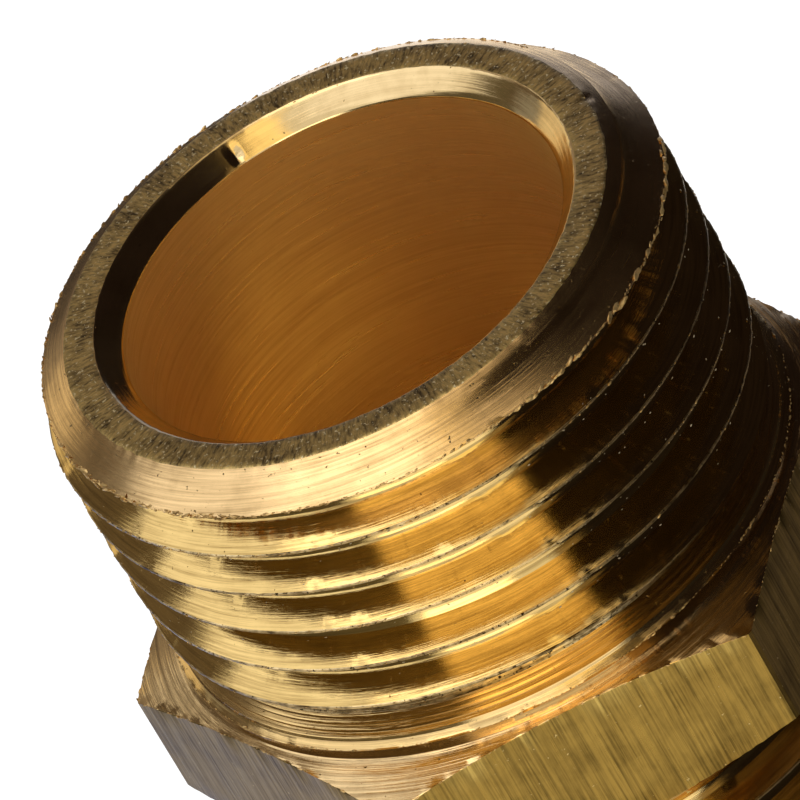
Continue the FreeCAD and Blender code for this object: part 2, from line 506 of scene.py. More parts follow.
@dataclass(frozen=True)
class BrassFinish:
    """Free-machining brass with the marks of how its surface was made.

    Attributes:
        name: what the surface is and how it was made.
        light: the colour where the metal is fresh.
        dark: the colour where it is tarnished or a tool mark lies in shade.
        roughness: its middle roughness.
        lay: which way the tool marks run.
        mark_width: the spacing of the tool marks.
        mark_depth: how strongly they tilt the surface.
        mark_shade: how strongly painted shade darkens it along the tool marks.
        blotch_size: the size of the tarnished patches.
        blotch_tint: how strongly they darken it.
        fleck_colour: the colour of the small flecks: torn metal, dirt or dents.
        fleck_size: the spacing of the flecks.
        fleck_share: how many of their places have one.
        metallic: 1 for bare metal, less where dust or oxide lies on it.
    """

    name: str
    light: str = "#F1CB80"
    dark: str = "#8A6422"
    roughness: float = 0.12
    lay: Lay = Lay.AROUND
    mark_width: float = 0.07
    mark_depth: float = 0.12
    mark_shade: float = 0.25
    blotch_size: float = 2.5
    blotch_tint: float = 0.25
    fleck_colour: str = "#5A4420"
    fleck_size: float = 0.25
    fleck_share: float = 0.0
    metallic: float = 1.0

    def _along_lay(self, tree: bpy.types.NodeTree) -> dict:
        """Draw a 4D texture out along the tool marks.

        Args:
            tree: the tree to add the nodes to.

        Returns:
            The inputs that the texture takes its place from, counted in millimetres.
        """
        place = add_node(tree, "ShaderNodeTexCoord").outputs["Object"]
        split = add_node(tree, "ShaderNodeSeparateXYZ", inputs={0: place})
        flat = add_node(tree, "ShaderNodeCombineXYZ",
                        inputs={"X": split.outputs["X"], "Y": split.outputs["Y"]})
        radius = add_node(tree, "ShaderNodeVectorMath", {"operation": "LENGTH"}, {0: flat.outputs[0]})
        around = add_node(tree, "ShaderNodeVectorMath", {"operation": "NORMALIZE"}, {0: flat.outputs[0]})
        # how fast the texture changes around the axis, away from it and along it: slowly along the marks
        arc = 7.0
        around_rate, out_rate, up_rate = {
            Lay.AROUND: (0.02 * arc, 1.0, 1.0), Lay.ACROSS: (arc, 0.3, 1.0),
            Lay.ALONG: (arc, 0.02, 0.02), Lay.NONE: (arc, 1.0, 1.0)}[self.lay]
        spread = add_node(tree, "ShaderNodeVectorMath", {"operation": "SCALE"},
                          {0: around.outputs[0], "Scale": around_rate})
        out = add_node(tree, "ShaderNodeMath", {"operation": "MULTIPLY"},
                       {0: radius.outputs["Value"], 1: out_rate / MM})
        lift = add_node(tree, "ShaderNodeMath", {"operation": "MULTIPLY"},
                        {0: split.outputs["Z"], 1: up_rate / MM})
        upward = add_node(tree, "ShaderNodeCombineXYZ", inputs={"Z": out.outputs[0]})
        total = add_node(tree, "ShaderNodeVectorMath", {"operation": "ADD"},
                         {0: spread.outputs[0], 1: upward.outputs[0]})
        return {"Vector": total.outputs[0], "W": lift.outputs[0]}

    @staticmethod
    def _ramp(tree: bpy.types.NodeTree, value: bpy.types.NodeSocket, start: float, end: float,
              low: float, high: float) -> bpy.types.NodeSocket:
        """Map a value from start..end to low..high, and no further.

        Args:
            tree: the tree to add the node to.
            value: the value.
            start: the value that gives low.
            end: the value that gives high.
            low: what it gives at and before the start.
            high: what it gives at and past the end.

        Returns:
            The socket of the mapped value.
        """
        node = add_node(tree, "ShaderNodeMapRange", inputs={
            "Value": value, "From Min": start, "From Max": end, "To Min": low, "To Max": high})
        return node.outputs[0]

    def _flecks(self, tree: bpy.types.NodeTree, place: bpy.types.NodeSocket) -> bpy.types.NodeSocket:
        """Give 1 on the flecks and 0 elsewhere.

        Args:
            tree: the tree to add the nodes to.
            place: the place on the piece.

        Returns:
            The socket that gives it.
        """
        grain = add_node(tree, "ShaderNodeTexNoise", inputs={
            "Vector": place, "Scale": 1.0 / (self.fleck_size * MM), "Detail": 3.0, "Roughness": 0.6})
        # the noise strays about its middle like a bell curve of this width
        noise = NormalDist(mu=0.5, sigma=0.105)
        level, softness = noise.inv_cdf(1.0 - self.fleck_share), 0.03
        return self._ramp(tree, grain.outputs[0], level, level + softness, 0.0, 1.0)

    def material(self) -> bpy.types.Material:
        """Build the material.

        Returns:
            The material.
        """
        made = bpy.data.materials.new(self.name)
        tree = empty_tree(made)
        lay = self._along_lay(tree)
        marks = add_node(tree, "ShaderNodeTexNoise", {"noise_dimensions": "4D"},
                         {**lay, "Scale": 0.5 / self.mark_width, "Detail": 4.0, "Roughness": 0.65})
        place = add_node(tree, "ShaderNodeTexCoord").outputs["Object"]
        blotch = add_node(tree, "ShaderNodeTexNoise", inputs={
            "Vector": place, "Scale": 1.0 / (self.blotch_size * MM), "Detail": 5.0, "Roughness": 0.62})
        # noise lies mostly between 0.3 and 0.7, and these ramps darken all but its lowest quarter: painted
        # shade along the tool marks, and tarnish in the patches
        shade = add_node(tree, "ShaderNodeMath", {"operation": "ADD", "use_clamp": True}, {
            0: self._ramp(tree, marks.outputs[0], 0.42, 0.68, 0.0, self.mark_shade),
            1: self._ramp(tree, blotch.outputs[0], 0.42, 0.66, 0.0, self.blotch_tint)})
        colour = add_node(tree, "ShaderNodeMix", {"data_type": "RGBA"}, {
            "Factor": shade.outputs[0], "A": linear(self.light), "B": linear(self.dark)}).outputs["Result"]
        height = marks.outputs[0]
        if self.fleck_share > 0.0:
            fleck = self._flecks(tree, place)
            colour = add_node(tree, "ShaderNodeMix", {"data_type": "RGBA"}, {
                "Factor": fleck, "A": colour, "B": linear(self.fleck_colour)}).outputs["Result"]
            height = add_node(tree, "ShaderNodeMath", {"operation": "SUBTRACT"},
                              {0: height, 1: fleck}).outputs[0]
        bump = add_node(tree, "ShaderNodeBump", inputs={
            "Strength": self.mark_depth, "Distance": self.mark_width * 0.5 * MM, "Height": height})
        shader = add_node(tree, "ShaderNodeBsdfPrincipled", inputs={
            "Base Color": colour, "Metallic": self.metallic, "Normal": bump.outputs[0],
            "Roughness": self._ramp(tree, marks.outputs[0], 0.35, 0.7,
                                    self.roughness * 0.8, self.roughness * 1.4)})
        add_node(tree, "ShaderNodeOutputMaterial", inputs={"Surface": shader.outputs[0]})
        return made


@dataclass(frozen=True)
class Chips:
    """Small chips of torn metal strewn along a path.

    Attributes:
        name: what they are.
        count: how many there are.
        shortest: the length of the smallest.
        longest: the length of the largest.
        spread: how far they stray from the path.
        seed: the seed of their places, turns and sizes.
    """

    name: str
    count: int
    shortest: float
    longest: float
    spread: float
    seed: int

    @staticmethod
    def tree() -> bpy.types.NodeTree:
        """Build the node tree that strews chips along a path of edges.

        Returns:
            The tree, with named inputs for the path, the sizes, the seed and the finish.
        """
        tree = bpy.data.node_groups.new("chips_along_path", "GeometryNodeTree")
        for name, kind in (("Path", "Geometry"), ("Count", "Int"), ("Shortest", "Float"),
                           ("Longest", "Float"), ("Spread", "Float"), ("Seed", "Int"),
                           ("Finish", "Material")):
            tree.interface.new_socket(name=name, in_out="INPUT", socket_type="NodeSocket" + kind)
        tree.interface.new_socket(name="Chips", in_out="OUTPUT", socket_type="NodeSocketGeometry")
        given = add_node(tree, "NodeGroupInput").outputs
        curve = add_node(tree, "GeometryNodeMeshToCurve", inputs={"Mesh": given["Path"]})
        points = add_node(tree, "GeometryNodeResampleCurve",
                          inputs={"Curve": curve.outputs[0], "Count": given["Count"]})
        least, most = (add_node(tree, "ShaderNodeVectorMath", {"operation": "SCALE"},
                                {0: (sign, sign, sign), "Scale": given["Spread"]}) for sign in (-1.0, 1.0))
        stray = add_node(tree, "FunctionNodeRandomValue", {"data_type": "FLOAT_VECTOR"}, {
            0: least.outputs[0], 1: most.outputs[0], "Seed": given["Seed"]})
        tangent = add_node(tree, "GeometryNodeInputTangent")
        kept = add_node(tree, "GeometryNodeCaptureAttribute", inputs={"Geometry": points.outputs[0]})
        kept.capture_items.new("VECTOR", "Tangent")
        tree.links.new(tangent.outputs[0], kept.inputs[1])
        moved = add_node(tree, "GeometryNodeSetPosition",
                         inputs={"Geometry": kept.outputs[0], "Offset": stray.outputs[0]})
        turn = add_node(tree, "FunctionNodeAlignRotationToVector", {"axis": "X"}, {"Vector": kept.outputs[1]})
        roll, tilt = 1.5, 0.35
        jitter = add_node(tree, "FunctionNodeRandomValue", {"data_type": "FLOAT_VECTOR"}, {
            0: (-roll, -tilt, -tilt), 1: (roll, tilt, tilt), "Seed": given["Seed"]})
        euler = add_node(tree, "FunctionNodeEulerToRotation", inputs={0: jitter.outputs[0]})
        turned = add_node(tree, "FunctionNodeRotateRotation", {"rotation_space": "LOCAL"},
                          {0: turn.outputs[0], 1: euler.outputs[0]})
        draw = add_node(tree, "FunctionNodeRandomValue", {"data_type": "FLOAT"},
                        {2: 0.0, 3: 1.0, "Seed": given["Seed"]})
        # a power above 1 leaves few chips near the greatest length
        mostly_small, half_sides = 2.2, (0.5, 0.20, 0.11)
        few = add_node(tree, "ShaderNodeMath", {"operation": "POWER"}, {0: draw.outputs[1], 1: mostly_small})
        size = add_node(tree, "ShaderNodeMapRange", inputs={
            "Value": few.outputs[0], "To Min": given["Shortest"], "To Max": given["Longest"]})
        shape = add_node(tree, "ShaderNodeVectorMath", {"operation": "SCALE"},
                         {0: half_sides, "Scale": size.outputs[0]})
        chip = add_node(tree, "GeometryNodeMeshIcoSphere", inputs={"Radius": 1.0, "Subdivisions": 1})
        strewn = add_node(tree, "GeometryNodeInstanceOnPoints", inputs={
            "Points": moved.outputs[0], "Instance": chip.outputs[0], "Rotation": turned.outputs[0],
            "Scale": shape.outputs[0]})
        real = add_node(tree, "GeometryNodeRealizeInstances", inputs={0: strewn.outputs[0]})
        finished = add_node(tree, "GeometryNodeSetMaterial",
                            inputs={"Geometry": real.outputs[0], "Material": given["Finish"]})
        add_node(tree, "NodeGroupOutput", inputs={0: finished.outputs[0]})
        return tree

    def build(self, tree: bpy.types.NodeTree, path: np.ndarray, finish: bpy.types.Material,
              ceiling: float) -> bpy.types.Object:
        """Strew the chips along a path.

        Args:
            tree: the node tree that strews them.
            path: the points of the path, in millimetres.
            finish: their material.
            ceiling: the height that none of them stands above, in millimetres.

        Returns:
            The chips, as one piece at the origin.
        """
        mesh = bpy.data.meshes.new(self.name + "_path")
        mesh.from_pydata((path * MM).tolist(), [(k, k + 1) for k in range(len(path) - 1)], [])
        holder = add_object(self.name + "_path", mesh)
        modifier = holder.modifiers.new("chips", "NODES")
        modifier.node_group = tree
        values = {"Count": self.count, "Shortest": self.shortest * MM, "Longest": self.longest * MM,
                  "Spread": self.spread * MM, "Seed": self.seed, "Finish": finish}
        for item in tree.interface.items_tree:
            if item.in_out == "INPUT" and item.name in values:
                modifier[item.identifier] = values[item.name]
        bpy.context.view_layer.update()
        evaluated = holder.evaluated_get(bpy.context.evaluated_depsgraph_get())
        made = bpy.data.meshes.new_from_object(evaluated)
        holder.modifiers.clear()
        bpy.data.objects.remove(holder)
        for vertex in made.vertices:
            vertex.co.z = min(vertex.co.z, ceiling * MM)
        LOG.info("%s: %d faces", self.name, len(made.polygons))
        piece = add_object(self.name, made)
        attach(piece, "nipple")
        return piece


@dataclass
class Nipple:
    """The hexagon nipple: an open threaded end, a relief, a hexagon, a lower thread and a coned flare nose.

    Attributes are the sizes of the turned blank, with depths from the open end face. The steps are the angles
    between columns of points, edge is how far a broken edge reaches, and the knocks are the angles of two
    dents, in degrees. The cuts are the depths between which the rings of the mesh follow a thread.
    """

    face_height: float
    front_step: float = 1.0
    back_step: float = 2.0
    edge: float = 0.03
    through_radius: float = 4.0
    nose_depth: float = 32.70
    nose_tip_radius: float = 4.9
    nose_land_radius: float = 7.2
    mouth_radius: float = 5.817
    mouth_depth: float = 12.0
    drill_point_half: float = 59.0
    bevel_in_radius: float = 6.355
    bevel_in_depth: float = 0.51
    bevel_in_fall: float = 0.95
    bevel_out_radius: float = 7.155
    bevel_out_depth: float = 0.72
    crest_radius: float = 8.331
    upper_end_depth: float = 7.45
    relief_radius: float = 7.80
    collar_depth: float = 8.71
    collar_foot_depth: float = 9.10
    collar_foot_radius: float = 8.42
    half_flats: float = 8.50
    corner_radius: float = 9.78
    corner_top_depth: float = 9.54
    corner_bottom_depth: float = 12.52
    under_depth: float = 13.08
    lower_relief_depth: float = 13.70
    lower_top_depth: float = 14.11
    lower_end_depth: float = 28.60
    run_out_drop: float = 0.35
    upper_crest_depth: float = 2.035
    lower_crest_depth: float = 14.79
    upper_cut: tuple[float, float] = (0.10, 7.75)
    lower_cut: tuple[float, float] = (13.70, 29.70)
    front_angle: float = math.radians(-84.5)
    rear_knock: float = 103.7
    front_knock: float = 7.7

    def form(self, crest_depth: float, root_steps: int = 3) -> ThreadForm:
        """Give the thread that has a crest at the given depth on the side that faces the front."""
        return ThreadForm(crest_radius=self.crest_radius, datum_angle=self.front_angle,
                          datum_height=self.face_height - crest_depth, root_steps=root_steps)

    def column_angles(self) -> np.ndarray:
        """Give the angles of the columns of points, in order from the seam at the back.

        They stand close in front, at the knock behind and beside the hexagon's corners.

        Returns:
            The angles, in radians.
        """
        front = math.degrees(self.front_angle)
        close_from, close_to = front - 95.0, front + 105.0
        even = np.concatenate([np.arange(close_from, close_to, self.front_step),
                               np.arange(close_to, close_from + 360.0, self.back_step),
                               self.rear_knock + np.arange(-4.5, 4.6, 0.5)])
        turned = math.radians(30) - math.acos(self.half_flats / self.corner_radius)
        beside = [math.radians(60 * k) + side for k in range(6) for side in (-turned, turned)]
        seam, least_gap = math.pi / 2, 0.002
        every = seam + np.sort(np.mod(np.concatenate([np.radians(even), beside]) - seam, TURN))
        return every[np.concatenate([[True], np.diff(every) > least_gap])]

    def upper_envelope(self, heights: np.ndarray) -> np.ndarray:
        """Give the radius of the turned blank around the upper thread, with tears where the crests will be.

        Args:
            heights: heights along the axis, in rows of one for each column of points.

        Returns:
            The radius at each place.
        """
        depths = self.face_height - heights
        floor_start = self.upper_end_depth + self.crest_radius - self.relief_radius
        blank = np.interp(depths, [0.0, self.bevel_out_depth, self.upper_end_depth, floor_start],
                          [self.bevel_out_radius, self.crest_radius, self.crest_radius, self.relief_radius])
        form = self.form(self.upper_crest_depth)
        angles = np.broadcast_to(self.column_angles(), heights.shape)
        turns = form.turns_up(angles, heights)
        crest_reach, tear_depth, tear_share, stretch = 0.1, 0.012, 0.4, 0.773
        below_bevel = depths > self.bevel_out_depth + self.edge
        on_crest = (np.abs(turns - np.round(turns)) < crest_reach) & below_bevel
        torn = Ripple(5, 60, 420).at(form.run(angles, heights).ravel() * stretch).reshape(heights.shape)
        return blank - tear_depth * np.clip(torn + tear_share, 0.0, 2.0) * on_crest

    def lower_envelope(self, heights: np.ndarray) -> np.ndarray:
        """Give the radius of the turned blank around the lower thread, slimmer where the thread runs out.

        Args:
            heights: heights along the axis.

        Returns:
            The radius at each height.
        """
        slim = self.crest_radius - self.run_out_drop
        return np.interp(self.face_height - heights,
                         [self.lower_relief_depth, self.lower_top_depth, self.lower_end_depth,
                          self.lower_end_depth + 0.10, self.lower_end_depth + slim - self.nose_land_radius],
                         [self.relief_radius, self.crest_radius, self.crest_radius, slim,
                          self.nose_land_radius])

    def build(self, finishes: list[BrassFinish]) -> bpy.types.Object:
        """Build the nipple as one closed skin and put it in place of its solid.

        Args:
            finishes: the finish of each zone, in the order of the zones.

        Returns:
            The nipple.
        """
        shell = TurnedShell(self.column_angles())
        for add_section in (self._bore, self._mouth, self._upper_thread, self._relief, self._hexagon,
                            self._lower_thread, self._nose):
            add_section(shell)
        shell.dent(self.rear_knock, radius=6.05, height=self.face_height - 0.30,
                   reach=(0.20, 0.24), push=(0.05, -0.10))
        shell.dent(self.front_knock, radius=7.18, height=self.face_height - 0.02,
                   reach=(0.16, 0.14), push=(-0.07, -0.06))
        piece = shell.build("nipple", [finish.material() for finish in finishes])
        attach(piece, "nipple")
        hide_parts("fitting_body")
        return piece

    def _bore(self, shell: TurnedShell) -> None:
        """Add the bore, from the nose up: the flow passage, the drill's cone and the wide mouth.

        Args:
            shell: the skin to add it to.
        """
        top, edge = self.face_height, self.edge
        cone_slope = math.tan(math.radians(self.drill_point_half))
        passage_end = self.mouth_depth + (self.mouth_radius - self.through_radius) / cone_slope
        passage_depths = (self.nose_depth - 0.2, 28.0, 22.0, 17.0, passage_end + edge)
        mouth_depths = (11.0, 9.0, 7.0, 5.0, 3.0, 1.5, self.bevel_in_depth + 2 * edge)
        shell.rings([(self.through_radius, top - depth) for depth in passage_depths], Zone.BORED)
        shell.rings([(self.through_radius + edge, top - passage_end),
                     (self.mouth_radius - edge, top - self.mouth_depth - edge),
                     (self.mouth_radius, top - self.mouth_depth + edge)], Zone.BORED)
        shell.rings([(self.mouth_radius, top - depth) for depth in mouth_depths], Zone.BORED)

    def _mouth(self, shell: TurnedShell) -> None:
        """Add the bevel inside the mouth and the end face around it, with ragged rims.

        Args:
            shell: the skin to add them to.
        """
        top, edge = self.face_height, self.edge
        inner_rim = self.bevel_in_radius + 0.012 * Ripple(3).at(shell.angles)
        outer_rim = self.bevel_out_radius + 0.014 * Ripple(7).at(shell.angles)
        shell.rings([(self.mouth_radius, top - self.bevel_in_depth - edge),
                     (self.mouth_radius + edge, top - self.bevel_in_depth + edge)], Zone.BEVEL_IN)
        shell.rings([(radius, top - (self.bevel_in_radius - radius) * self.bevel_in_fall)
                     for radius in (5.95, 6.03, 6.10, 6.20, 6.28)], Zone.BEVEL_IN)
        shell.ring(inner_rim - edge, top - edge, Zone.BEVEL_IN)
        shell.ring(inner_rim + edge, top, Zone.SAWN)
        shell.rings([(radius, top) for radius in (6.55, 6.75, 6.95)], Zone.SAWN)
        shell.ring(outer_rim - edge, top, Zone.SAWN)
        shell.ring(outer_rim + edge, top - 0.75 * edge, Zone.BEVEL_OUT)

    def _upper_thread(self, shell: TurnedShell) -> None:
        """Add the bevel outside the end face and the upper thread, which is cut into it.

        Args:
            shell: the skin to add them to.
        """
        split = self.face_height - self.bevel_out_depth

        def zone(height: float, on_crest: bool) -> Zone:
            """Give the zone of a ring of the thread."""
            return Zone.BEVEL_OUT if height > split else self._thread_zone(height, on_crest)

        start, end = self.upper_cut
        shell.winding(self.form(self.upper_crest_depth), self.upper_envelope,
                      self.face_height - start, self.face_height - end, zone)

    @staticmethod
    def _thread_zone(_height: float, on_crest: bool) -> Zone:
        """Give the zone of a ring of a thread."""
        return Zone.CREST if on_crest else Zone.THREAD

    def _relief(self, shell: TurnedShell) -> None:
        """Add the relief under the upper thread, with the steps that the tool left, and the collar below it.

        Args:
            shell: the skin to add them to.
        """
        top, edge = self.face_height, self.edge
        steps = [(7.80, 7.98), (7.86, 8.02), (7.84, 8.12), (7.93, 8.17), (7.90, 8.27), (8.02, 8.33),
                 (8.00, 8.43), (8.14, 8.49), (8.16, 8.58),
                 (self.crest_radius - edge, self.collar_depth - 0.02)]
        shell.rings([(radius, top - depth) for radius, depth in steps], Zone.RELIEF)
        burr, proud, turn_in = 0.02 * Ripple(11).at(shell.angles), 0.02, 0.05
        shell.ring(self.crest_radius + proud + burr, top - self.collar_depth + 0.5 * burr, Zone.CONE)
        shell.rings([(self.crest_radius - proud, top - self.collar_depth - turn_in),
                     (self.crest_radius - edge, top - self.collar_foot_depth + turn_in),
                     (self.collar_foot_radius - edge, top - self.collar_foot_depth)], Zone.CONE)

    def _upper_cone(self, radii: np.ndarray) -> np.ndarray:
        """Give the height of the cone over the hexagon.

        Args:
            radii: the radii to give it at.

        Returns:
            The height at each radius.
        """
        width = self.corner_radius - self.collar_foot_radius
        fall = (self.corner_top_depth - self.collar_foot_depth) / width
        return self.face_height - self.collar_foot_depth - (radii - self.collar_foot_radius) * fall

    def _lower_cone(self, radii: np.ndarray) -> np.ndarray:
        """Give the height of the cone under the hexagon.

        Args:
            radii: the radii to give it at.

        Returns:
            The height at each radius.
        """
        width = self.corner_radius - self.collar_foot_radius
        rise = (self.under_depth - self.corner_bottom_depth) / width
        return self.face_height - self.under_depth + (radii - self.collar_foot_radius) * rise

    def _hexagon(self, shell: TurnedShell) -> None:
        """Add the hexagon, coned at both ends, with ragged edges round its flats.

        Args:
            shell: the skin to add it to.
        """
        edge, foot = self.edge, self.collar_foot_radius
        side = hexagon_radius(shell.angles, self.half_flats, self.corner_radius)
        ragged = 0.016 * Ripple(17, 20, 300).at(shell.angles)
        upper, lower = self._upper_cone(side), self._lower_cone(side)
        for share in (0.15, 0.4, 0.7):
            radii = foot + (side - 2 * edge - foot) * share
            shell.ring(radii, self._upper_cone(radii), Zone.CONE)
        shell.ring(side - edge, self._upper_cone(side - edge), Zone.CONE)
        shell.ring(side - 0.2 * edge + ragged, upper + ragged, Zone.FLATS)
        shell.ring(side, upper - edge, Zone.FLATS)
        for share in (0.2, 0.4, 0.6, 0.8):
            shell.ring(side, upper * (1 - share) + lower * share, Zone.FLATS)
        shell.ring(side, lower + edge, Zone.FLATS)
        shell.ring(side - 0.2 * edge + ragged, lower, Zone.CONE)
        shell.ring(side - edge, self._lower_cone(side - edge), Zone.CONE)
        for share in (0.7, 0.3, 0.0):
            radii = foot + (side - 2 * edge - foot) * share
            shell.ring(radii, self._lower_cone(radii), Zone.CONE)

    def _lower_thread(self, shell: TurnedShell) -> None:
        """Add the lower relief and the lower thread.

        Args:
            shell: the skin to add them to.
        """
        top, corner, gap = self.face_height, 0.05, 0.02
        start, end = self.lower_cut
        shell.rings([(self.relief_radius + corner, top - self.under_depth),
                     (self.relief_radius, top - self.under_depth - corner),
                     (self.relief_radius, top - start + gap)], Zone.RELIEF)
        shell.winding(self.form(self.lower_crest_depth, root_steps=2), self.lower_envelope,
                      top - start, top - end, self._thread_zone)

    def _nose(self, shell: TurnedShell) -> None:
        """Add the land and the cone of the flare nose.

        Args:
            shell: the skin to add them to.
        """
        top, edge = self.face_height, self.edge
        cone_start = self.nose_depth - (self.nose_land_radius - self.nose_tip_radius)
        halfway, gap = 1.2, 0.06
        shell.rings([(self.nose_land_radius, top - self.lower_cut[1] - gap),
                     (self.nose_land_radius, top - cone_start + edge),
                     (self.nose_land_radius - edge, top - cone_start - edge),
                     (self.nose_tip_radius + halfway, top - self.nose_depth + halfway),
                     (self.nose_tip_radius + edge, top - self.nose_depth + edge),
                     (self.nose_tip_radius - edge, top - self.nose_depth),
                     (self.through_radius + 0.2, top - self.nose_depth)], Zone.NOSE)

    def ring_path(self, radius: float, depth: float) -> np.ndarray:
        """Give the points of a level ring, in millimetres."""
        return around_axis(radius, np.linspace(0.0, TURN, PATH_POINTS + 1), self.face_height - depth)

    def hexagon_path(self) -> np.ndarray:
        """Give the points just inside the edge where the turned cone meets the flats.

        Returns:
            The points, in millimetres.
        """
        angles = np.linspace(0.0, TURN, 3 * PATH_POINTS + 1)
        radii = hexagon_radius(angles, self.half_flats, self.corner_radius)
        inset = 0.01
        return around_axis(radii - inset, angles, self._upper_cone(radii) - inset)

    def crest_path(self, from_depth: float, to_depth: float) -> np.ndarray:
        """Give the points of the upper thread's edge between two depths.

        The edge is the crest line, and where the groove runs out through the bevel it is the line of that
        cut.

        Args:
            from_depth: the depth of the crest line where the path starts.
            to_depth: its depth where the path ends.

        Returns:
            The points, in millimetres.
        """
        form = self.form(self.upper_crest_depth)
        crest = np.linspace(from_depth, to_depth, int(PATH_POINTS * (to_depth - from_depth) / form.pitch))
        angles = self.front_angle - form.hand.value * TURN * (crest - self.upper_crest_depth) / form.pitch
        bevel = form.crest_radius - self.bevel_out_radius
        rise = bevel / self.bevel_out_depth
        fall = 1.0 / math.tan(math.radians(form.flank))
        cut = (bevel + fall * (crest + form.crest_flat / 2)) / (rise + fall)
        depths = np.maximum(crest, np.minimum(cut, self.bevel_out_depth))
        radii, inset = np.minimum(form.crest_radius, self.bevel_out_radius + rise * depths), 0.02
        return around_axis(radii - inset, angles, self.face_height - depths)

    def build_chips(self, torn: bpy.types.Material, dust: bpy.types.Material) -> None:
        """Strew torn metal along the sharp edges that the tools left, and dust along the groove.

        Args:
            torn: the material of the torn metal.
            dust: the material of the dust.
        """
        tree, top = Chips.tree(), self.face_height
        pitch = self.form(self.upper_crest_depth).pitch
        first, per_degree = self.upper_crest_depth - pitch, pitch / 360.0
        # the two places, in degrees from the front, where the die tore the first crest the most
        left = self.crest_path(first - 88 * per_degree, first - 38 * per_degree)
        right = self.crest_path(first + 14 * per_degree, first + 80 * per_degree)
        # the dust lies about a third of the way down the groove's upper flank
        inward, down = 1.0 - 0.30 / self.crest_radius, 0.16
        groove = self.crest_path(1.45, 7.10) * (inward, inward, 1.0) - (0.0, 0.0, down)
        outer_rim = self.ring_path(self.bevel_out_radius, 0.05)
        inner_rim = self.ring_path(self.bevel_in_radius, 0.045)
        collar = self.ring_path(self.crest_radius, self.collar_depth)
        first_edge, first_crest = self.crest_path(-0.20, 0.80), self.crest_path(0.80, 2.00)
        crests, hexagon = self.crest_path(2.00, 7.30), self.hexagon_path()
        for chips, path in ((Chips("outer_rim_chips", 260, 0.04, 0.17, 0.02, 3), outer_rim),
                            (Chips("inner_rim_chips", 240, 0.04, 0.15, 0.02, 4), inner_rim),
                            (Chips("first_edge_chips", 620, 0.05, 0.24, 0.025, 5), first_edge),
                            (Chips("left_burr", 90, 0.12, 0.40, 0.05, 10), left),
                            (Chips("right_burr", 110, 0.10, 0.42, 0.05, 11), right),
                            (Chips("first_crest_chips", 560, 0.05, 0.22, 0.025, 9), first_crest),
                            (Chips("crest_chips", 1500, 0.04, 0.16, 0.02, 6), crests),
                            (Chips("hexagon_chips", 420, 0.03, 0.20, 0.012, 12), hexagon),
                            (Chips("collar_chips", 420, 0.04, 0.18, 0.015, 7), collar)):
            chips.build(tree, path, torn, top)
        Chips("groove_dust", 1100, 0.03, 0.10, 0.32, 8).build(tree, groove, dust, top)


